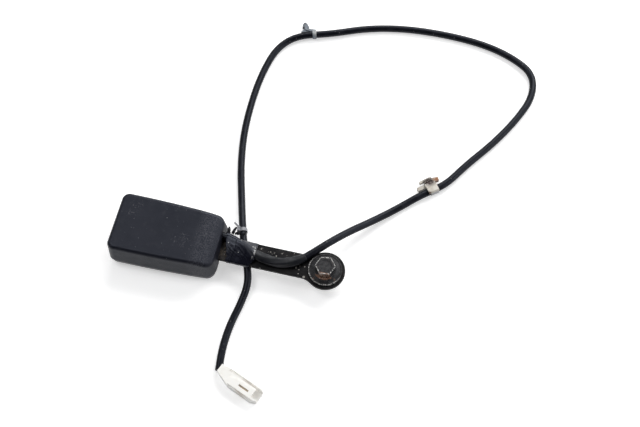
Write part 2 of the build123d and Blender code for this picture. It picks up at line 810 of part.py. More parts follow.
def make_white_clip():
    """The pale nylon clip: a saddle on the cable and a ribbed anchor with wings."""
    saddle = block(-5.4, 3.6, -3.3, 4.4, 3.2, 8.4)
    saddle = chamfer(saddle.edges().filter_by(Axis.X).sort_by(Axis.Z)[-2:], 0.7)
    body = saddle + block(-5.4, 3.6, 4.2, 6.0, 0.2, 7.6)
    body += block(-11.2, -5.0, 4.0, 7.2, 0.2, 4.2)
    body += block(-3.0, 2.2, 5.8, clip_anchor, 1.4, 5.4)
    for start in (6.2, 8.1, 10.0):
        body += block(-3.9, 3.1, start, start + 1.0, 0.8, 6.0)
    tip = clip_anchor
    body += outline_plate([(-2.8, tip), (-7.4, tip - 0.2), (-7.6, tip - 1.9), (-2.8, tip - 2.0)], 1.8, 4.8)
    wing = [(2.0, tip - 1.4), (5.0, tip - 1.8), (8.4, tip - 3.0), (8.0, tip - 5.8), (4.8, tip - 5.4), (2.0, tip - 3.2)]
    body += outline_plate(wing, 1.8, 5.6)
    tunnel = Cylinder(cable_radius + cable_play + clip_band_thick, 40)
    return clip_frame(white_clip_run, 1) * body - on_cable(white_clip_run) * tunnel


def make_grey_clip():
    """The grey clip at the loop's far corner: wedge, arm, arrow head and band."""
    body = outline_plate([(-13.0, 1.6), (-1.2, 1.6), (-6.4, 6.2), (-8.6, 6.2)], 0.8, 5.0)
    arm = [(-8.6, 5.0), (-6.4, 6.2), (-2.6, 4.9), (1.7, 4.2), (1.7, 0.6), (-1.7, 0.6), (-3.6, 3.0)]
    body += outline_plate(arm, 4.2, 5.8)
    head = [
        (-7.8, 5.4), (-8.6, 8.0), (-10.2, 8.2), (-9.9, 10.6), (-8.6, 12.8), (-7.3, 13.2),
        (-5.6, 11.4), (-4.4, 8.2), (-5.4, 7.8), (-6.0, 5.4),
    ]
    body += outline_plate(head, 1.4, 4.6)
    body += outline_plate([(-8.0, 5.4), (-8.4, 12.4), (-7.4, 12.4), (-7.0, 5.4)], 0.8, 5.2)
    run = on_cable(grey_clip_run)
    body = clip_frame(grey_clip_run, -1) * body - run * Cylinder(cable_radius + cable_play, 40)
    return body + make_clip_band(grey_clip_run, 3.4)


def make_connector_housing():
    """The two-way connector: tapered wire end, body, and an open hood."""
    length = connector_length
    left = connector_offset + connector_width / 2
    right = connector_offset - connector_width / 2
    top = connector_height
    taper = length / 3
    corner = 2.2
    outline = [
        (0, -3.8), (taper, right), (length - 2 * corner, right), (length, right + corner),
        (length, left), (taper, left), (0, 2.6),
    ]
    body = outline_plate(outline, 0, top)
    edges = body.edges().filter_by(Axis.Z).sort_by(Axis.X)
    body = fillet(edges[-2:], 1.4)
    face_end = length - hood_cut_back
    body -= block(-1, 5, -9, 9, top - 1.2, top + 1)
    body -= block(8, face_end, left - 2.5, left - 0.9, top - 2.0, top + 1)
    body -= block(taper, length + 1, right - 1, right + 1.1, top - 0.9, top + 1)
    step = [
        (10.6, left - 2.5), (10.6, connector_offset), (19.2, -0.3), (face_end, 0), (face_end, left - 2.5),
    ]
    body -= outline_plate(step, top - 0.5, top + 1)
    hood = block(length - hood_depth, length + 1, right + 2.8, left - 1.2, 1.3, top - 1.5)
    body -= fillet(hood.edges().filter_by(Axis.X), 0.7)
    body -= block(face_end, length + 1, right + 2.8, left - 1.2, top - 2.0, top + 1)
    body -= block(20.4, length - hood_depth + 1.3, -4.4, -2.8, top - 3.4, top + 1)
    low, high = terminal_z - 1.1, terminal_z + 1.1
    body -= outline_plate([(-1, -2.6), (0, -2.6), (6.5, -5.6), (9, -5.6), (9, 1.2), (-1, 1.2)], low, high)
    for y in terminal_stations:
        body -= block(8, length - hood_depth + 1, y - 1.1, y + 1.1, low, high)
    return connector_frame() * body


def make_connector_terminals():
    """Two brass receptacles in the connector's chambers, crimped to the wires."""
    terminals = []
    for y in terminal_stations:
        box = block(9, connector_length - hood_depth - 1, y - 1.0, y + 1.0, terminal_z - 0.9, terminal_z + 0.9)
        box -= block(14, connector_length, y - 0.6, y + 0.6, terminal_z - 0.5, terminal_z + 0.5)
        barrel = rod(0.85, 3.4, (7.9, y, terminal_z), (1, 0, 0))
        terminals.append(connector_frame() * (box + barrel))
    return Compound(children=terminals)


def make_connector_wires():
    """The two wires between the cable's sleeve and the connector's chambers."""
    wires = []
    for y, start_y in zip(terminal_stations, (-0.4, -1.9)):
        start = Vector(0.3, start_y, terminal_z)
        end = Vector(5.7, y, terminal_z)
        wires.append(connector_frame() * rod(wire_radius, (end - start).length, (start + end) / 2, end - start))
    return Compound(children=wires)


def connector_frame():
    """Where the connector lies: its wire end's centre on the floor, and its turn."""
    return Pos(*connector_place, floor_z) * Rot(0, 0, connector_angle)


def build_all():
    """Every piece, by the name of its node."""
    return {
        "upper_cover": make_upper_cover(),
        "lower_cover": make_lower_cover(),
        "frame": make_frame(),
        "stalk": make_stalk(),
        "stalk_rivets": make_rivets(),
        "button": make_button(),
        "button_spring_left": make_button_spring(1),
        "button_spring_right": make_button_spring(-1),
        "latch_plate": make_latch(),
        "latch_pin": make_latch_pin(),
        "latch_spring": make_latch_spring(),
        "ejector": make_ejector(),
        "ejector_spring": make_ejector_spring(),
        "switch_case": make_switch_case(),
        "switch_contacts": make_switch_contacts(),
        "switch_wiper": make_switch_wiper(),
        "switch_wires": make_switch_wires(),
        "anchor_bush": make_anchor_bush(),
        "seat_washer": make_seat_washer(),
        "wave_washer": make_wave_washer(),
        "anchor_bolt": make_anchor_bolt(),
        "cable": make_cable(),
        "tape_wrap": make_tape(),
        "cable_tie": make_cable_tie(),
        "white_clip": make_white_clip(),
        "white_clip_band": make_clip_band(white_clip_run, 6.4),
        "grey_clip": make_grey_clip(),
        "connector_housing": make_connector_housing(),
        "connector_terminals": make_connector_terminals(),
        "connector_wires": make_connector_wires(),
    }


os.makedirs("parts", exist_ok=True)
for node, shape in build_all().items():
    export_step(shape, f"parts/{node}.step")
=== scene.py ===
import bpy
import math
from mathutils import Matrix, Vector, noise


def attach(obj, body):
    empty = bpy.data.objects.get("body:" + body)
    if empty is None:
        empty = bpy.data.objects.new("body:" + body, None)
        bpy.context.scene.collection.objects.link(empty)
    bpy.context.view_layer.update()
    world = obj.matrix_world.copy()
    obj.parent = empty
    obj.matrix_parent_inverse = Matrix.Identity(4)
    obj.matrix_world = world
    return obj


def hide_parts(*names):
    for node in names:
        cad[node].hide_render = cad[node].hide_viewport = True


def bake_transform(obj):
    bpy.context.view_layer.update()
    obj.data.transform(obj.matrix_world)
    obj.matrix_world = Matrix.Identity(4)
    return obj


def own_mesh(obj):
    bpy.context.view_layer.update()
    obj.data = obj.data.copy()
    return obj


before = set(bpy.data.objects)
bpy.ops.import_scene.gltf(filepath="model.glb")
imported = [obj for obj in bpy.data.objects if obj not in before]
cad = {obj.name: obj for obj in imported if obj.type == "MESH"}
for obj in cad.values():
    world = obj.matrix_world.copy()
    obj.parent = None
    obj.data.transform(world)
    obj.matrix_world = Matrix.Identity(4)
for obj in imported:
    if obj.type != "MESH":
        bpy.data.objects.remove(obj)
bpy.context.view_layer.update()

# Floor, light and camera
# A plain white sheet on a table, a broad lamp above and behind the buckle and a
# dim room on the camera's side. The camera looks steeply down, a little from
# the right.


def add(tree, kind, inputs=None, **settings):
    """One shader node, with its settings and with values or links for its inputs."""
    node = tree.nodes.new("ShaderNode" + kind)
    for key, value in settings.items():
        setattr(node, key, value)
    for key, value in (inputs or {}).items():
        if isinstance(value, bpy.types.NodeSocket):
            tree.links.new(value, node.inputs[key])
        else:
            node.inputs[key].default_value = value
    return node


def new_finish(name):
    """A material with its node tree and its surface shader."""
    material = bpy.data.materials.new(name)
    material.use_nodes = True
    return material, material.node_tree, material.node_tree.nodes["Principled BSDF"]


def mesh_object(name, points, faces, smooth=True):
    """A mesh object made of points and faces in the row frame."""
    mesh = bpy.data.meshes.new(name)
    mesh.from_pydata([tuple(p) for p in points], [], faces)
    mesh.validate()
    mesh.update()
    for face in mesh.polygons:
        face.use_smooth = smooth
    piece = bpy.data.objects.new(name, mesh)
    bpy.context.collection.objects.link(piece)
    return piece


floor_level = -0.010
floor_half = 4.0
sheet_glow = 0.50
corners = [(x * floor_half, y * floor_half) for x, y in ((-1, -1), (1, -1), (1, 1), (-1, 1))]
floor = mesh_object("floor", [(x, y, floor_level) for x, y in corners], [(0, 1, 2, 3)])
floor_finish, tree, surface = new_finish("white sheet")
surface.inputs["Base Color"].default_value = (0.86, 0.86, 0.86, 1)
surface.inputs["Roughness"].default_value = 0.85
rays = add(tree, "LightPath")
camera_ray, glossy_ray = rays.outputs["Is Camera Ray"], rays.outputs["Is Glossy Ray"]
seen = add(tree, "Math", {0: camera_ray, 1: glossy_ray}, operation="MAXIMUM")
lift = add(tree, "Math", {0: seen.outputs[0], 1: sheet_glow}, operation="MULTIPLY")
glow = add(tree, "Emission", {"Color": (1, 1, 1, 1), "Strength": lift.outputs[0]})
both = add(tree, "AddShader", {0: surface.outputs[0], 1: glow.outputs[0]})
tree.links.new(both.outputs[0], tree.nodes["Material Output"].inputs["Surface"])
floor.data.materials.append(floor_finish)

world = bpy.data.worlds.new("room")
bpy.context.scene.world = world
world.use_nodes = True
tree = world.node_tree
tree.nodes.clear()
dim_side, lit_side = 0.05, 0.20
direction = add(tree, "TexCoord")
parts = add(tree, "SeparateXYZ", {0: direction.outputs["Generated"]})
towards = add(
    tree, "MapRange", {"Value": parts.outputs["Y"], 1: -0.45, 2: 0.35, 3: dim_side, 4: lit_side},
    interpolation_type="SMOOTHSTEP",
)
rays = add(tree, "LightPath")
white = add(tree, "Mix", {0: rays.outputs["Is Camera Ray"], 2: towards.outputs[0], 3: 1.0})
backdrop = add(tree, "Background", {"Color": (0.96, 0.975, 1.0, 1), "Strength": white.outputs[0]})
add(tree, "OutputWorld", {"Surface": backdrop.outputs[0]})


def lamp(name, place, aim, width, depth, power, shade):
    """A soft rectangular lamp that points at a place."""
    data = bpy.data.lights.new(name, "AREA")
    data.shape = "RECTANGLE"
    data.size = width
    data.size_y = depth
    data.energy = power
    data.color = shade
    light = bpy.data.objects.new(name, data)
    light.location = place
    light.rotation_euler = (Vector(aim) - Vector(place)).to_track_quat("-Z", "Y").to_euler()
    bpy.context.collection.objects.link(light)


middle = (-0.02, 0.05, 0.0)
lamp("broad_lamp", (0.25, 1.25, 1.05), middle, 1.7, 0.8, 25.0, (1.0, 0.995, 0.985))
lamp("top_lamp", (-0.75, 0.05, 1.45), middle, 0.7, 0.7, 7.0, (1.0, 1.0, 1.0))
lamp("end_lamp", (1.35, 0.15, 0.75), (0.0, 0.0, 0.0), 0.7, 0.5, 7.0, (0.97, 0.98, 1.0))

camera_data = bpy.data.cameras.new("camera")
camera_data.sensor_width = 36.0
camera_data.lens = 62.55
camera_data.clip_start = 0.01
camera = bpy.data.objects.new("camera", camera_data)
bpy.context.collection.objects.link(camera)
target = Vector((-0.0159, 0.0498, 0.0))
turn, height, reach = math.radians(13.2), math.radians(64.0), 0.9
level = math.cos(height)
back = Vector((math.sin(turn) * level, -math.cos(turn) * level, math.sin(height)))
camera.location = target + back * reach
camera.rotation_euler = (-back).to_track_quat("-Z", "Y").to_euler()
bpy.context.scene.camera = camera
bpy.context.scene.view_settings.view_transform = "Standard"

# Switch cable
# A round six millimetre sleeve of black PVC over two thin wires. It leaves the
# housing beside the strap, is taped along it, makes one loop on the table and
# comes back under the strap to its connector.


def place_of(tree):
    """The piece's own coordinates, in metres."""
    return add(tree, "TexCoord").outputs["Object"]


def cloud(tree, size, detail=3.0, rough=0.55, vector=None):
    """Smooth random patches of about that size in metres, from 0 to 1."""
    inputs = {"Vector": vector or place_of(tree), "Scale": 1 / size, "Detail": detail, "Roughness": rough}
    return add(tree, "TexNoise", inputs).outputs["Fac"]


def cut(tree, value, low, high, start=0.0, end=1.0):
    """A value spread from low..high to start..end, with soft ends."""
    inputs = {"Value": value, 1: low, 2: high, 3: start, 4: end}
    return add(tree, "MapRange", inputs, interpolation_type="SMOOTHSTEP").outputs[0]


def tint(tree, share, first, second):
    """Two colours mixed by a share; each is a colour or a link."""
    node = tree.nodes.new("ShaderNodeMix")
    node.data_type = "RGBA"
    for key, value in ((0, share), (6, first), (7, second)):
        if isinstance(value, bpy.types.NodeSocket):
            tree.links.new(value, node.inputs[key])
        elif key:
            node.inputs[key].default_value = (*value, 1)
        else:
            node.inputs[key].default_value = value
    return node.outputs[2]


def maths(tree, kind, first, second):
    """Two values joined by one operation."""
    return add(tree, "Math", {0: first, 1: second}, operation=kind).outputs[0]


def times(tree, first, second):
    """Two values multiplied."""
    return maths(tree, "MULTIPLY", first, second)


def larger(tree, first, second):
    """The larger of two values."""
    return maths(tree, "MAXIMUM", first, second)


def relief(tree, surface, value, depth, strength=1.0):
    """A bump of that depth in metres on the surface."""
    node = add(tree, "Bump", {"Height": value, "Distance": depth, "Strength": strength})
    tree.links.new(node.outputs[0], surface.inputs["Normal"])


def specks(tree, spacing, radius, share):
    """Small pale spots seen from above, one in each cell for a share of the cells."""
    cells = add(tree, "TexVoronoi", {"Vector": place_of(tree), "Scale": 1 / spacing}, voronoi_dimensions="2D")
    chance = add(tree, "SeparateColor", {0: cells.outputs["Color"]})
    size = times(tree, chance.outputs[1], radius / spacing)
    near = maths(tree, "LESS_THAN", cells.outputs["Distance"], size)
    chosen = maths(tree, "LESS_THAN", chance.outputs[0], share)
    upward = add(tree, "SeparateXYZ", {0: add(tree, "NewGeometry").outputs["Normal"]}).outputs[2]
    spots = times(tree, near, chosen)
    return times(tree, spots, cut(tree, upward, 0.3, 0.6))


def near_to(tree, x, y, radius):
    """A soft patch round a place seen from above, from 1 in its middle to 0."""
    middle = add(tree, "VectorMath", {0: place_of(tree), 1: (-x, -y, 0)}, operation="ADD")
    flat = add(tree, "VectorMath", {0: middle.outputs[0], 1: (1, 1, 0)}, operation="MULTIPLY")
    reach = add(tree, "VectorMath", {0: flat.outputs[0]}, operation="LENGTH").outputs["Value"]
    return cut(tree, reach, radius, radius * 0.3)


sleeve_finish, tree, surface = new_finish("cable sleeve")
streaks = cloud(tree, 0.006, 4.0)
dust = specks(tree, 0.0045, 0.0005, 0.22)
colour = tint(tree, cut(tree, streaks, 0.4, 0.7), (0.0040, 0.0043, 0.0070), (0.0080, 0.0085, 0.0125))
colour = tint(tree, times(tree, dust, 0.3), colour, (0.30, 0.29, 0.28))
tree.links.new(colour, surface.inputs["Base Color"])
tree.links.new(cut(tree, streaks, 0.35, 0.7, 0.30, 0.46), surface.inputs["Roughness"])
surface.inputs["Specular IOR Level"].default_value = 0.20
surface.inputs["Specular Tint"].default_value = (0.80, 0.86, 1.0, 1)
relief(tree, surface, cloud(tree, 0.0012, 2.0), 0.00008)

# Heights of the sleeve's middle: over the strap, on the table, in a clip's band
# and under the strap.
on_strap = 0.0081
lying = -0.00695
on_band = -0.00605
below = -0.0011
route = [
    (-0.0930, 0.0097, on_strap), (-0.0805, 0.0090, on_strap), (-0.0660, 0.0046, on_strap),
    (-0.0525, -0.0022, on_strap), (-0.0375, -0.0038, on_strap), (-0.0226, 0.0010, on_strap),
    (-0.0122, 0.0116, on_strap), (-0.0006, 0.0252, 0.0064), (0.0118, 0.0396, 0.0016),
    (0.0272, 0.0552, -0.0042), (0.0436, 0.0714, lying), (0.0604, 0.0880, on_band),
    (0.0784, 0.1018, on_band), (0.0916, 0.1242, lying), (0.1104, 0.1502, lying),
    (0.1258, 0.1774, lying), (0.1360, 0.2034, lying), (0.1328, 0.2264, lying),
    (0.1138, 0.2388, lying), (0.0874, 0.2472, lying), (0.0520, 0.2500, lying),
    (0.0160, 0.2482, lying), (-0.0170, 0.2410, lying), (-0.0475, 0.2270, on_band),
    (-0.0756, 0.2188, on_band), (-0.0904, 0.2028, lying), (-0.0964, 0.1760, lying),
    (-0.0982, 0.1460, lying), (-0.0968, 0.1120, lying), (-0.0908, 0.0800, lying),
    (-0.0830, 0.0535, lying), (-0.0762, 0.0310, -0.0042), (-0.0699, 0.0120, below),
    (-0.0622, -0.0060, below), (-0.0572, -0.0215, -0.0036), (-0.0594, -0.0385, lying),
    (-0.0626, -0.0550, lying), (-0.0636, -0.0705, lying), (-0.0629, -0.0840, -0.0065),
    (-0.0614, -0.0944, -0.0064),
]
cable_curve = bpy.data.curves.new("cable", "CURVE")
cable_curve.dimensions = "3D"
line = cable_curve.splines.new("NURBS")
line.points.add(len(route) - 1)
for point, where in zip(line.points, route):
    point.co = (*where, 1.0)
line.order_u = 3
line.use_endpoint_u = True
line.resolution_u = 10
cable_curve.bevel_depth = 0.0030
cable_curve.bevel_resolution = 5
cable_curve.use_fill_caps = True
cable = bpy.data.objects.new("cable_sleeve", cable_curve)
bpy.context.collection.objects.link(cable)
cable_curve.materials.append(sleeve_finish)
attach(cable, "housing")
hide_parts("cable")

# Housing
# Two moulded halves of black nylon with a fine spark-eroded grain, snapped
# together along a parting line. The grain is polished by hands, scuffed white
# at the mouth's edges and specked with dust and paint. A painted sheen, a
# lighter grainy band, lies across the rear bend where the top rolls down.


def dress(node, finish):
    """A CAD piece takes a finish."""
    for slot in cad[node].material_slots:
        slot.material = finish


cover_finish, tree, surface = new_finish("black moulding")
wide = cloud(tree, 0.020, 4.0)
handled = cloud(tree, 0.006, 5.0, 0.6)
colour = tint(tree, cut(tree, wide, 0.35, 0.7), (0.0088, 0.0096, 0.0155), (0.0126, 0.0134, 0.0200))
colour = tint(tree, cut(tree, handled, 0.52, 0.78, 0.0, 0.5), colour, (0.024, 0.0245, 0.029))
fine = specks(tree, 0.0038, 0.00026, 0.24)
coarse = specks(tree, 0.0110, 0.00036, 0.30)
dots = larger(tree, fine, coarse)
colour = tint(tree, times(tree, dots, 0.5), colour, (0.24, 0.24, 0.25))
scuffs = 0.0
for x, y, radius in (
    (-0.1570, 0.0165, 0.007), (-0.1600, 0.0070, 0.006), (-0.1270, 0.0230, 0.008),
    (-0.1150, -0.0060, 0.010), (-0.1700, -0.0220, 0.006), (-0.1700, 0.0000, 0.004),
    (-0.0960, 0.0020, 0.012),
):
    scuffs = larger(tree, scuffs, near_to(tree, x, y, radius))
scratch = cut(tree, cloud(tree, 0.0015, 6.0, 0.8), 0.53, 0.60)
scuffs = times(tree, scuffs, cut(tree, handled, 0.42, 0.60))
scratch = times(tree, scratch, scuffs)
colour = tint(tree, times(tree, scratch, 0.5), colour, (0.13, 0.13, 0.14))
station = add(tree, "SeparateXYZ", {0: place_of(tree)}).outputs[0]
# Painted sheen: the rear bend of the top is lightened in fine grains, a painted highlight where the top rolls
# down towards the rear.
bend = times(tree, cut(tree, station, -0.1080, -0.0990), cut(tree, station, -0.0870, -0.0930))
painted_bend_sheen = times(tree, bend, cut(tree, cloud(tree, 0.0009, 3.0, 0.7), 0.42, 0.60))
colour = tint(tree, times(tree, painted_bend_sheen, 0.75), colour, (0.056, 0.057, 0.068))
rim = cut(tree, station, -0.1690, -0.1705)
chips = cut(tree, cloud(tree, 0.0020, 5.0, 0.7), 0.54, 0.62)
rim = times(tree, times(tree, rim, chips), 0.6)
colour = tint(tree, rim, colour, (0.28, 0.28, 0.29))
tree.links.new(colour, surface.inputs["Base Color"])
tree.links.new(cut(tree, handled, 0.3, 0.75, 0.36, 0.48), surface.inputs["Roughness"])
surface.inputs["Specular IOR Level"].default_value = 0.28
surface.inputs["Specular Tint"].default_value = (0.80, 0.86, 1.0, 1)
grain = maths(tree, "ADD", cloud(tree, 0.00045, 2.0), times(tree, cloud(tree, 0.0016, 2.0), 0.6))
relief(tree, surface, grain, 0.00010, 0.8)
for node in ("upper_cover", "lower_cover"):
    dress(node, cover_finish)

# Button, ejector and switch
# The push button is moulded in red, the ejector in natural acetal and the
# switch's tray in black; none of them is painted.
for node, name, low, high, rough in (
    ("button", "red moulding", (0.36, 0.010, 0.008), (0.48, 0.016, 0.012), 0.38),
    ("ejector", "natural acetal", (0.66, 0.65, 0.60), (0.74, 0.73, 0.68), 0.34),
    ("switch_case", "tray moulding", (0.020, 0.020, 0.021), (0.035, 0.035, 0.036), 0.5),
):
    finish, tree, surface = new_finish(name)
    patches = cloud(tree, 0.008, 4.0)
    tree.links.new(tint(tree, cut(tree, patches, 0.35, 0.7), low, high), surface.inputs["Base Color"])
    tree.links.new(cut(tree, patches, 0.3, 0.7, rough, rough + 0.12), surface.inputs["Roughness"])
    relief(tree, surface, cloud(tree, 0.0005, 2.0), 0.00004)
    dress(node, finish)

# Steel strap
# A 20 by 3 mm bar of steel, sheared and punched, dipped in black paint. The
# paint is dull with dirt, chipped at its edges and spotted round the eye.
strap_finish, tree, surface = new_finish("painted strap")
grime = cloud(tree, 0.007, 5.0, 0.6)
colour = tint(tree, cut(tree, grime, 0.38, 0.72), (0.0055, 0.0054, 0.0066), (0.015, 0.014, 0.0145))
dirt = cut(tree, cloud(tree, 0.0018, 5.0, 0.7), 0.42, 0.62)
dirt = times(tree, near_to(tree, -0.0840, 0.0, 0.013), dirt)
colour = tint(tree, times(tree, dirt, 0.7), colour, (0.115, 0.090, 0.066))
spots = larger(tree, specks(tree, 0.0034, 0.00060, 0.30), specks(tree, 0.0085, 0.0011, 0.34))
flakes = cut(tree, cloud(tree, 0.0022, 5.0, 0.7), 0.60, 0.66)
flakes = times(tree, near_to(tree, -0.0400, 0.0060, 0.016), flakes)
spots = larger(tree, spots, flakes)
colour = tint(tree, times(tree, spots, 0.75), colour, (0.42, 0.40, 0.37))
tree.links.new(colour, surface.inputs["Base Color"])
surface.inputs["Specular IOR Level"].default_value = 0.15
tree.links.new(cut(tree, grime, 0.35, 0.7, 0.30, 0.55), surface.inputs["Roughness"])
relief(tree, surface, cloud(tree, 0.0009, 3.0), 0.00009)
dress("stalk", strap_finish)

# Plated and hardened steel inside
# The channel and the rivets are zinc plated, the latch plate is hardened and
# blackened, and the bush is turned from plain steel, all a little oily.


def metal(name, low, high, rough):
    """A bare metal with faint patches and fine marks along X."""
    finish, tree, surface = new_finish(name)
    patches = cloud(tree, 0.004, 4.0)
    marks = add(tree, "Mapping", {"Vector": place_of(tree)})
    marks.inputs["Scale"].default_value = (0.08, 1.0, 1.0)
    brushed = cloud(tree, 0.0004, 3.0, 0.6, marks.outputs[0])
    colour = tint(tree, cut(tree, patches, 0.3, 0.7), low, high)
    tree.links.new(colour, surface.inputs["Base Color"])
    surface.inputs["Metallic"].default_value = 1.0
    tree.links.new(cut(tree, brushed, 0.3, 0.7, rough, rough + 0.16), surface.inputs["Roughness"])
    relief(tree, surface, brushed, 0.00002)
    return finish


zinc_plate = metal("zinc plate", (0.36, 0.35, 0.30), (0.55, 0.54, 0.50), 0.36)
hardened_steel = metal("hardened steel", (0.10, 0.10, 0.105), (0.20, 0.20, 0.21), 0.34)
turned_steel = metal("turned steel", (0.34, 0.34, 0.34), (0.48, 0.48, 0.47), 0.32)
for node in ("frame", "stalk_rivets", "latch_pin", "wave_washer"):
    dress(node, zinc_plate)
dress("latch_plate", hardened_steel)
dress("anchor_bush", turned_steel)

# Brass contacts
# The switch's strips and wiper and the connector's receptacles are stamped from
# brass strip and left bare.
brass_strip = metal("brass strip", (0.52, 0.36, 0.14), (0.66, 0.48, 0.22), 0.33)
for node in ("switch_contacts", "switch_wiper", "connector_terminals"):
    dress(node, brass_strip)

# Springs
# Three compression springs are coiled from round wire: one behind each leg of
# the button and a longer one behind the ejector.
spring_steel = metal("spring wire", (0.30, 0.30, 0.31), (0.42, 0.42, 0.43), 0.28)


def tube_faces(steps, sides):
    """The faces round a tube whose points come ring by ring."""
    faces = []
    for i in range(steps):
        for k in range(sides):
            a, b = i * sides + k, i * sides + (k + 1) % sides
            faces.append((a, b, b + sides, a + sides))
    return faces


def coil_spring(name, node, radius, turns, start, end, place):
    """A compression spring along X, wound evenly from one end to the other."""
    wire, sides = 0.00035, 8
    steps = turns * 24
    points = []
    for i in range(steps + 1):
        angle = 2 * math.pi * turns * i / steps
        x = start + wire + (end - start - 2 * wire) * i / steps
        for k in range(sides):
            bend = 2 * math.pi * k / sides
            reach = radius + wire * math.sin(bend)
            y = place[0] + reach * math.sin(angle)
            z = place[1] - reach * math.cos(angle)
            points.append((x + wire * math.cos(bend), y, z))
    last = steps * sides
    ends = [tuple(range(sides))[::-1], tuple(range(last, last + sides))]
    faces = tube_faces(steps, sides) + ends
    spring = mesh_object(name, points, faces)
    spring.data.materials.append(spring_steel)
    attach(spring, "housing")
    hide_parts(node)
    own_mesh(spring)


leg_y = 0.0189
for name, node, y in (
    ("left_coil", "button_spring_left", leg_y), ("right_coil", "button_spring_right", -leg_y),
):
    coil_spring(name, node, 0.00135, 6, -0.12395, -0.10855, (y, 0.0026))
coil_spring(
    "ejector_coil", "ejector_spring", 0.0019, 8, -0.12795, -0.10705, (0.0, 0.0024),
)

# Leaf spring
# A strip of spring steel six millimetres wide. The front rivet goes through its
# flat end; from there it bows over the latch's pin and bears on the latch plate.
leaf_half, leaf_thick = 0.003, 0.0005
hole_x, hole_radius = -0.1015, 0.0025
rear_x, bend_x = -0.0969, -0.1067
bow = (
    (rear_x, 0.00525), (bend_x, 0.00525), (-0.1115, 0.0094),
    (-0.1160, 0.0095), (-0.1275, 0.00767), (-0.1295, 0.0083),
)
columns, rows = 8, 6
ring = 4 * columns


def on_bow(x, y, side):
    """A point on the leaf's upper or lower face, by its place in plan."""
    for (x0, z0), (x1, z1) in zip(bow, bow[1:]):
        if x >= x1 - 1e-9:
            break
    run = Vector((x1 - x0, 0, z1 - z0)).normalized()
    middle = Vector((x, y, z0 + (z1 - z0) * (x - x0) / (x1 - x0)))
    return middle + Vector((run.z, 0, -run.x)) * side * leaf_thick / 2


# The flat end, seen in plan: its outline, and the rivet's hole in it
corners = (
    (bend_x, leaf_half), (bend_x, -leaf_half), (rear_x, -leaf_half), (rear_x, leaf_half), (bend_x, leaf_half),
)
sheet = [
    (x0 + (x1 - x0) * k / columns, y0 + (y1 - y0) * k / columns)
    for (x0, y0), (x1, y1) in zip(corners, corners[1:]) for k in range(columns)
]
for x, y in sheet[:ring]:
    turn = math.atan2(y, x - hole_x)
    sheet.append((hole_x + hole_radius * math.cos(turn), hole_radius * math.sin(turn)))
faces = [(k, (k + 1) % ring, ring + (k + 1) % ring, ring + k) for k in range(ring)]
# The bowed part, row by row
row = list(range(columns + 1))
for (x0, z0), (x1, z1) in zip(bow[1:], bow[2:]):
    for k in range(1, rows + 1):
        x = x0 + (x1 - x0) * k / rows
        following = [len(sheet) + j for j in range(columns + 1)]
        sheet += [(x, leaf_half - 2 * leaf_half * j / columns) for j in range(columns + 1)]
        faces += [(row[j], following[j], following[j + 1], row[j + 1]) for j in range(columns)]
        row = following
# The lower face and the walls between the two
sides = {(a, b) for face in faces for a, b in zip(face, face[1:] + face[:1])}
count = len(sheet)
faces += [tuple(k + count for k in face[::-1]) for face in faces]
faces += [(b, a, a + count, b + count) for a, b in sorted(sides) if (b, a) not in sides]
points = [on_bow(x, y, side) for side in (1, -1) for x, y in sheet]
leaf = mesh_object("latch_leaf", points, faces, smooth=False)
leaf.data.materials.append(spring_steel)
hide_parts("latch_spring")
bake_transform(leaf)

# Fibre washer
# Punched from brown vulcanised fibre, it only keeps the bolt from falling out.
fibre_finish, tree, surface = new_finish("brown fibre")
threads = cloud(tree, 0.0012, 4.0)
tree.links.new(tint(tree, threads, (0.13, 0.06, 0.03), (0.24, 0.13, 0.07)), surface.inputs["Base Color"])
surface.inputs["Roughness"].default_value = 0.8
relief(tree, surface, threads, 0.00005)
dress("seat_washer", fibre_finish)

# Anchor bolt
# A forged hexagon bolt with a wide flange, zinc plated and then worn: bright
# scratches on the corners that the socket rubbed, dark oxide between them and
# brown rust on the flats.
bolt_finish, tree, surface = new_finish("worn bolt")
oxide = cloud(tree, 0.0025, 5.0, 0.65)
worn = cloud(tree, 0.0009, 5.0, 0.75)
axes = add(tree, "SeparateXYZ", {0: place_of(tree)})
x, y, z = (axes.outputs[k] for k in range(3))
across = 0.0
flat_heading = 39.0
for degrees in (flat_heading, flat_heading + 60, flat_heading + 120):
    turn = math.radians(degrees)
    side = maths(tree, "ADD", times(tree, x, math.cos(turn)), times(tree, y, math.sin(turn)))
    across = larger(tree, across, maths(tree, "ABSOLUTE", side, 0.0))
radius = maths(tree, "SQRT", maths(tree, "ADD", times(tree, x, x), times(tree, y, y)), 0.0)
across = maths(tree, "ADD", across, times(tree, worn, 0.0012))
crown = times(tree, cut(tree, across, 0.0069, 0.0074), cut(tree, z, 0.0130, 0.0137))
towards_front = maths(tree, "ADD", times(tree, x, -0.5), times(tree, y, -0.85))
flange_rim = cut(tree, radius, 0.0124, 0.0132)
flange_rim = times(tree, flange_rim, cut(tree, towards_front, -0.006, 0.004))
edges = larger(tree, crown, times(tree, flange_rim, 0.8))
bright = times(tree, edges, cut(tree, worn, 0.47, 0.55))
front = times(tree, cut(tree, y, -0.0055, -0.0066), cut(tree, radius, 0.0096, 0.0088))
chips = times(tree, front, cut(tree, worn, 0.56, 0.62))
bright = larger(tree, bright, chips)
bright = larger(tree, bright, times(tree, cut(tree, worn, 0.62, 0.70), 0.45))
rust = times(tree, front, cut(tree, oxide, 0.36, 0.50))
rust = larger(tree, rust, cut(tree, cloud(tree, 0.005, 4.0, 0.6), 0.62, 0.72, 0.0, 0.6))
colour = tint(tree, cut(tree, oxide, 0.38, 0.66), (0.012, 0.012, 0.014), (0.042, 0.042, 0.045))
colour = tint(tree, times(tree, rust, 0.8), colour, (0.26, 0.13, 0.075))
colour = tint(tree, bright, colour, (0.72, 0.71, 0.69))
tree.links.new(colour, surface.inputs["Base Color"])
tree.links.new(cut(tree, bright, 0.1, 0.8, 0.20, 0.75), surface.inputs["Metallic"])
surface.inputs["Specular IOR Level"].default_value = 0.3
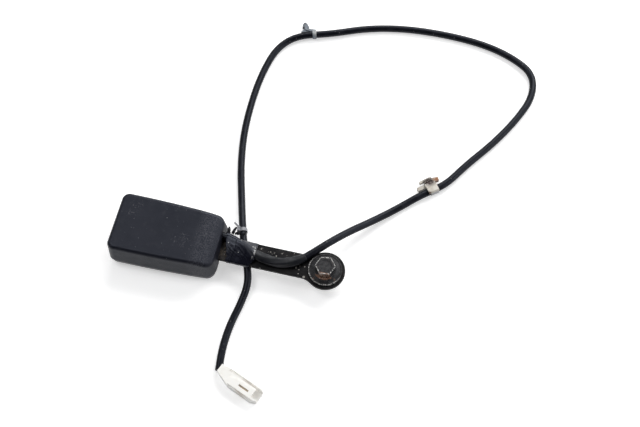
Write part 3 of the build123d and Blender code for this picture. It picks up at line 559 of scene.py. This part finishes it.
tree.links.new(cut(tree, oxide, 0.3, 0.7, 0.40, 0.62), surface.inputs["Roughness"])
relief(tree, surface, worn, 0.00014)
dress("anchor_bolt", bolt_finish)

# Vinyl tape
# Glossy black PVC tape, 19 mm wide, wound in overlapping turns round the strap
# and both stretches of cable. Each turn ends in a thin raised lip; the cable
# pushes a ridge up under it, and the ends are ragged and dusty.


def route_at(points, x):
    """The route's y where it passes a station along X."""
    for first, second in zip(points, points[1:]):
        low, high = sorted((first[0], second[0]))
        if low <= x <= high:
            share = (x - first[0]) / (second[0] - first[0])
            return first[1] + (second[1] - first[1]) * share
    return points[-1][1]


def outer_hull(points):
    """The convex outline round flat points, anticlockwise."""
    ordered = sorted(set(points))
    chains = []
    for sequence in (ordered, ordered[::-1]):
        chain = []
        for p in sequence:
            while len(chain) > 1:
                (ax, ay), (bx, by) = chain[-2], chain[-1]
                if (bx - ax) * (p[1] - ay) - (by - ay) * (p[0] - ax) > 0:
                    break
                chain.pop()
            chain.append(p)
        chains += chain[:-1]
    return chains


def hull_reach(outline, centre, angle):
    """How far the outline lies from a centre, in one direction."""
    dy, dz = math.cos(angle), math.sin(angle)
    best = 0.0
    for (ay, az), (by, bz) in zip(outline, outline[1:] + outline[:1]):
        ey, ez = by - ay, bz - az
        across = dy * ez - dz * ey
        if abs(across) < 1e-12:
            continue
        far = ((ay - centre[0]) * ez - (az - centre[1]) * ey) / across
        along = ((ay - centre[0]) * dz - (az - centre[1]) * dy) / across
        if far > 0 and -1e-6 <= along <= 1 + 1e-6:
            best = max(best, far)
    return best


stations, spokes = 100, 160
strap_half, strap_low, strap_high = 0.0100, 0.0020, 0.0050
core = 0.0031
tape_centre = (0.001, 0.0040)
tape_thick, lip_height, crease_depth, pucker_depth = 0.00038, 0.00022, 0.00010, 0.00005
ragged_depth = 0.0013


def tape_span(y):
    """Where the wrap starts and ends along the strap; both ends are cut askew."""
    start = -0.0836 + 0.006 * (0.015 - y) / 0.027
    if y > -0.0054:
        return start, -0.0568 + 0.0006 * (0.015 - y) / 0.0204
    return start, -0.0562 - 0.0042 * (-0.0054 - y) / 0.0066


def tape_outline(x):
    """The taut outline at one station: the strap's bar and the two cables."""
    ridge = route_at(route[:6], x)
    flat = [(s * strap_half, z) for s in (-1, 1) for z in (strap_low, strap_high)]
    for k in range(16):
        turn = k * math.pi / 8
        flat.append((ridge + core * math.cos(turn), on_strap + core * math.sin(turn)))
    sink = max(0.0, 1 - abs((x + 0.0668) / 0.0105) ** 3)
    under_strap = max(-0.0755, min(-0.0590, x))
    crossing = max(-0.006, min(0.0075, route_at(route[31:35], under_strap)))
    flat += [(crossing + s * 0.0045, strap_low - 0.0062 * sink) for s in (-1, 1)]
    return outer_hull(flat)


def tape_point(angle, share):
    """One point of the wrap, by its angle round the strap and its share along."""
    y = tape_centre[0] + 0.010 * math.cos(angle)
    for step in range(2):
        start, end = tape_span(y)
        x = start + (end - start) * share
        outline = tape_outline(x)
        spread = [hull_reach(outline, tape_centre, angle + d * 0.06) for d in (-1, 0, 1)]
        reach_out = 0.2 * spread[0] + 0.6 * spread[1] + 0.2 * spread[2]
        y = tape_centre[0] + reach_out * math.cos(angle)
    lap = (share * 2.6 + angle / (2 * math.pi) + 0.06 * math.sin(angle * 2 + 1)) % 1.0
    lip = lip_height * lap ** 3
    fold = Vector((share * 1.6 + math.sin(angle) * 1.5, share * 5 - angle * 1.3, 4.0))
    crease = crease_depth * max(0.0, 1 - abs(noise.noise(fold)) * 5)
    pucker = noise.noise(Vector((share * 9, math.cos(angle) * 2.5, math.sin(angle) * 2.5 + 5)))
    edge = noise.noise(Vector((math.cos(angle) * 4, math.sin(angle) * 4, 9 if share > 0.5 else 3)))
    x += ragged_depth * edge * abs(2 * share - 1) ** 8
    r = reach_out + tape_thick + lip + crease + pucker_depth * pucker
    return x, tape_centre[0] + r * math.cos(angle), tape_centre[1] + r * math.sin(angle)


points = [
    tape_point(2 * math.pi * j / spokes, i / stations)
    for i in range(stations + 1) for j in range(spokes)
]
faces = tube_faces(stations, spokes)
for i, flip in ((0, False), (stations, True)):
    outer = [i * spokes + j for j in range(spokes)]
    first = len(points)
    for index in outer:
        x, y, z = points[index]
        y0, z0 = tape_centre
        sunk = -0.0004 if flip else 0.0004
        points.append((x + sunk, y0 + (y - y0) * 0.90, z0 + (z - z0) * 0.88))
    inner = [first + j for j in range(spokes)]
    for j in range(spokes):
        k = (j + 1) % spokes
        quad = (outer[j], inner[j], inner[k], outer[k])
        faces.append(quad if flip else quad[::-1])
    faces.append(inner[::-1] if flip else inner)
tape = mesh_object("tape_wrap_turns", points, faces)
tape_finish, tree, surface = new_finish("vinyl tape")
smear = cloud(tree, 0.006, 3.0, 0.5)
axes = add(tree, "SeparateXYZ", {0: place_of(tree)})
x, y = axes.outputs[0], axes.outputs[1]
colour = tint(tree, cut(tree, smear, 0.42, 0.75), (0.0060, 0.0064, 0.0120), (0.0120, 0.0128, 0.0215))
diagonal = maths(tree, "SUBTRACT", y, times(tree, x, -0.85))
flap = times(tree, cut(tree, x, -0.0700, -0.0685), cut(tree, diagonal, -0.0540, -0.0525))
colour = tint(tree, flap, colour, (0.027, 0.028, 0.034))
# Painted highlight: a pale broken line along the wrap's lower edge, where the glossy tape turns under.
lower_edge_highlight = cut(tree, cloud(tree, 0.004, 3.0), 0.40, 0.55)
lower_edge_highlight = times(tree, cut(tree, y, -0.0106, -0.0112), lower_edge_highlight)
colour = tint(tree, times(tree, lower_edge_highlight, 0.5), colour, (0.20, 0.20, 0.22))
ragged = times(tree, near_to(tree, -0.0575, 0.0005, 0.0085), cut(tree, x, -0.0590, -0.0580))
ragged = times(tree, ragged, cut(tree, cloud(tree, 0.0022, 4.0, 0.7), 0.50, 0.56))
flecks = larger(tree, specks(tree, 0.0050, 0.0006, 0.25), ragged)
colour = tint(tree, times(tree, flecks, 0.8), colour, (0.50, 0.50, 0.49))
tree.links.new(colour, surface.inputs["Base Color"])
gloss = tint(tree, flap, (0.20, 0.20, 0.20), (0.42, 0.42, 0.42))
tree.links.new(maths(tree, "ADD", gloss, times(tree, smear, 0.14)), surface.inputs["Roughness"])
relief(tree, surface, cloud(tree, 0.0060, 2.0, 0.4), 0.00012)
surface.inputs["Specular IOR Level"].default_value = 0.34
surface.inputs["Specular Tint"].default_value = (0.80, 0.86, 1.0, 1)
tape.data.materials.append(tape_finish)
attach(tape, "housing")
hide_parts("tape_wrap")

# Tail of the tape
# The roll's last length runs on along the cable over the strap, wound on the
# skew, so it lies in flat folds and makes the cable look wider and angular.
steps, around = 60, 28
facet = math.radians(72)
bore = 0.00302
outer, inner = [], []
for i in range(steps + 1):
    share = i / steps
    span = 3.02 + 2.97 * share
    index = int(span)
    t = span - index
    before, here, after = (Vector(route[index + k]) for k in (-1, 0, 1))
    middle = before * (0.5 * (1 - t) ** 2) + here * (0.5 + t * (1 - t)) + after * (0.5 * t * t)
    heading = (here - before) * (1 - t) + (after - here) * t
    beside = Vector((-heading.y, heading.x, 0)).normalized()
    swell = math.sin(math.pi * min(1.0, 0.03 + 0.97 * share)) ** 0.5
    for k in range(around):
        angle = 2 * math.pi * k / around
        off_middle = (angle + 1.9 * share + 0.5) % facet - facet / 2
        crumple = noise.noise(Vector((math.cos(angle) * 2, math.sin(angle) * 2, share * 9)))
        folded = 0.00314 / math.cos(off_middle) + 0.00006 * (1 + crumple)
        reach = 0.00312 + swell * (folded - 0.00312)
        wide = reach * math.cos(angle) * (1 + 0.16 * swell)
        high = max(-0.00303, reach * math.sin(angle))
        outer.append(middle + beside * wide + Vector((0, 0, high)))
        inner.append(middle + beside * bore * math.cos(angle) + Vector((0, 0, bore * math.sin(angle))))
count = len(outer)
faces = tube_faces(steps, around)
faces += [tuple(k + count for k in face[::-1]) for face in faces]
for first, flip in ((0, False), (steps * around, True)):
    for k in range(around):
        a, b = first + k, first + (k + 1) % around
        quad = (a, a + count, b + count, b)
        faces.append(quad[::-1] if flip else quad)
tail = mesh_object("tape_tail", outer + inner, faces)
tail_finish, tree, surface = new_finish("tape tail")
smear = cloud(tree, 0.005, 3.0, 0.5)
colour = tint(tree, cut(tree, smear, 0.40, 0.65), (0.0070, 0.0080, 0.0115), (0.0150, 0.0168, 0.0200))
# Painted shade: the side of the tail towards -Y, away from the broad lamp, is painted a darker blue-black.
across = add(tree, "SeparateXYZ", {0: place_of(tree)}).outputs[1]
colour = tint(tree, cut(tree, across, -0.0036, -0.0052), colour, (0.0042, 0.0046, 0.0085))
tree.links.new(colour, surface.inputs["Base Color"])
surface.inputs["Roughness"].default_value = 0.46
surface.inputs["Specular IOR Level"].default_value = 0.26
relief(tree, surface, cloud(tree, 0.0030, 2.0, 0.4), 0.00010)
tail.data.materials.append(tail_finish)
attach(tail, "housing")

# Torn ends of the tape
# The last turns were torn by hand, so short black strips stick out and curl
# beside the tie, on the housing's side of the wrap. Stretching dulled them.
torn_finish, tree, surface = new_finish("torn tape")
colour = tint(tree, cloud(tree, 0.002), (0.006, 0.006, 0.009), (0.014, 0.014, 0.018))
tree.links.new(colour, surface.inputs["Base Color"])
surface.inputs["Roughness"].default_value = 0.62
surface.inputs["Specular IOR Level"].default_value = 0.2
strip_steps = 8
for index, (x, y, z, turn, length, width, curl) in enumerate((
    (-0.0815, 0.0120, 0.0085, 95.0, 0.0055, 0.0030, 0.0016),
    (-0.0785, 0.0125, 0.0080, 70.0, 0.0065, 0.0024, 0.0022),
    (-0.0765, 0.0128, 0.0078, 40.0, 0.0050, 0.0018, 0.0008),
    (-0.0735, 0.0128, 0.0080, 110.0, 0.0040, 0.0026, 0.0014),
    (-0.0700, 0.0125, 0.0085, 60.0, 0.0050, 0.0016, 0.0012),
)):
    heading = math.radians(turn)
    along = (math.cos(heading), math.sin(heading))
    beside = (-math.sin(heading), math.cos(heading))
    points = []
    for i in range(strip_steps + 1):
        share = i / strip_steps
        torn = 1 + 0.35 * noise.noise(Vector((share * 6, index * 7, 0)))
        half = width / 2 * (1 - 0.75 * share ** 2) * torn
        rise = curl * math.sin(share * 2.6)
        for side, lift in ((-1, 0.0), (1, 0.0), (1, 0.0003), (-1, 0.0003)):
            points.append((
                x + along[0] * length * share + beside[0] * side * half,
                y + along[1] * length * share + beside[1] * side * half,
                z + rise + lift + 0.0006 * side * share,
            ))
    last = strip_steps * 4
    faces = tube_faces(strip_steps, 4) + [(3, 2, 1, 0), (last, last + 1, last + 2, last + 3)]
    strip = mesh_object(f"torn_tape_{index + 1}", points, faces)
    strip.data.materials.append(torn_finish)
    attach(strip, "housing")

# Small nylon pieces on the cable
# A grey cable tie with its cut tail, a pale push-in clip held by a silver band,
# and a blue-grey clip moulded in one with its band; all are natural nylon that
# has yellowed and picked up dirt. The connector's ivory nylon has a faint
# painted glow of its own, and painted shade in its lock window.
white_clip_marks = (
    (0.0648, 0.1003, 0.0068, (0.030, 0.009, 0.005)),
    (0.0706, 0.1056, 0.0054, (0.27, 0.105, 0.03)),
    (0.0668, 0.0890, 0.0030, (0.10, 0.06, 0.04)),
)
grey_clip_marks = (
    (-0.0600, 0.2235, 0.0050, (0.42, 0.43, 0.42)),
    (-0.0730, 0.2270, 0.0022, (0.012, 0.012, 0.016)),
)
connector_painted_glow = 0.16
for node, name, low, high, dirt, share, marks in (
    ("cable_tie", "grey nylon", (0.17, 0.175, 0.195), (0.29, 0.295, 0.32), (0.04, 0.04, 0.045), 0.6, ()),
    (
        "white_clip", "pale nylon", (0.54, 0.50, 0.43), (0.68, 0.65, 0.59), (0.26, 0.16, 0.09), 0.6,
        white_clip_marks,
    ),
    ("white_clip_band", "silver band", (0.46, 0.46, 0.47), (0.62, 0.62, 0.62), (0.20, 0.18, 0.16), 0.5, ()),
    (
        "grey_clip", "blue-grey nylon", (0.10, 0.12, 0.15), (0.18, 0.21, 0.25), (0.03, 0.03, 0.035), 0.6,
        grey_clip_marks,
    ),
    (
        "connector_housing", "ivory nylon", (0.82, 0.81, 0.77), (0.87, 0.86, 0.83), (0.70, 0.65, 0.56), 0.20,
        (),
    ),
):
    finish, tree, surface = new_finish(name)
    patches = cloud(tree, 0.005, 4.0)
    stain = cut(tree, cloud(tree, 0.0035, 4.0, 0.6), 0.56, 0.70, 0.0, share)
    colour = tint(tree, cut(tree, patches, 0.3, 0.7), low, high)
    colour = tint(tree, stain, colour, dirt)
    for x, y, radius, shade in marks:
        spread = cut(tree, cloud(tree, 0.0020, 4.0, 0.7), 0.36, 0.46)
        spread = times(tree, near_to(tree, x, y, radius), spread)
        colour = tint(tree, spread, colour, shade)
    if node == "connector_housing":
        # Painted shade: the nylon inside the lock window is painted brown below a depth, as shade in the
        # recess.
        level = add(tree, "SeparateXYZ", {0: place_of(tree)}).outputs[2]
        window_shade = cut(tree, level, -0.0018, -0.0026)
        window_shade = times(tree, near_to(tree, -0.0389, -0.1051, 0.0085), window_shade)
        colour = tint(tree, window_shade, colour, (0.30, 0.19, 0.07))
        # Painted glow: the ivory nylon gives off a faint light of its own so that it reads whiter; it is no
        # lamp.
        surface.inputs["Emission Color"].default_value = (1.0, 0.99, 0.97, 1)
        surface.inputs["Emission Strength"].default_value = connector_painted_glow
    tree.links.new(colour, surface.inputs["Base Color"])
    tree.links.new(cut(tree, patches, 0.3, 0.7, 0.36, 0.52), surface.inputs["Roughness"])
    relief(tree, surface, cloud(tree, 0.0006, 2.0), 0.00004)
    dress(node, finish)

# Thin wires
# Two insulated wires inside the housing and two behind the connector, with the
# same black PVC as the cable's sleeve.
wire_finish, tree, surface = new_finish("wire insulation")
colour = tint(tree, cloud(tree, 0.003), (0.010, 0.010, 0.011), (0.022, 0.022, 0.024))
tree.links.new(colour, surface.inputs["Base Color"])
surface.inputs["Roughness"].default_value = 0.36
for node in ("switch_wires", "connector_wires"):
    dress(node, wire_finish)
